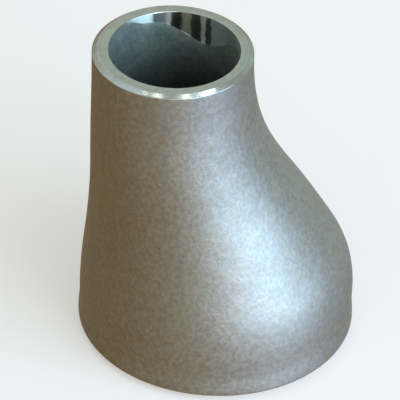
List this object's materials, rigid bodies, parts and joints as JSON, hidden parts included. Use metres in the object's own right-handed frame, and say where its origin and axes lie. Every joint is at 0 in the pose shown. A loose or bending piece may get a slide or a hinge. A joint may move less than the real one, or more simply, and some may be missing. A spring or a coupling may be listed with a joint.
{
  "type": "eccentric reducer",
  "caption": "Eccentric butt-weld pipe reducer: a seamless tapering shell, straight along its flat side, with bevelled weld ends of different size and a clear passage through.",
  "frame": {"origin": "centre of the large weld end, on the plane of its end face, which is the lowest plane of the part", "axes": "+Z from the large weld end to the small weld end, square to both end faces; -X towards the flat side, which is also the way the small end's centre is displaced; the part is symmetric about the XZ plane"},
  "size_m": [0.0604, 0.0604, 0.0762],
  "materials": {
    "body_steel": "blast-cleaned and pickled stainless steel, matte with a fine grain; the end faces, bevels and small-end mouth are turned bright"
  },
  "bodies": {
    "root": {"reducer_body": "body_steel"}
  },
  "joints": []
}
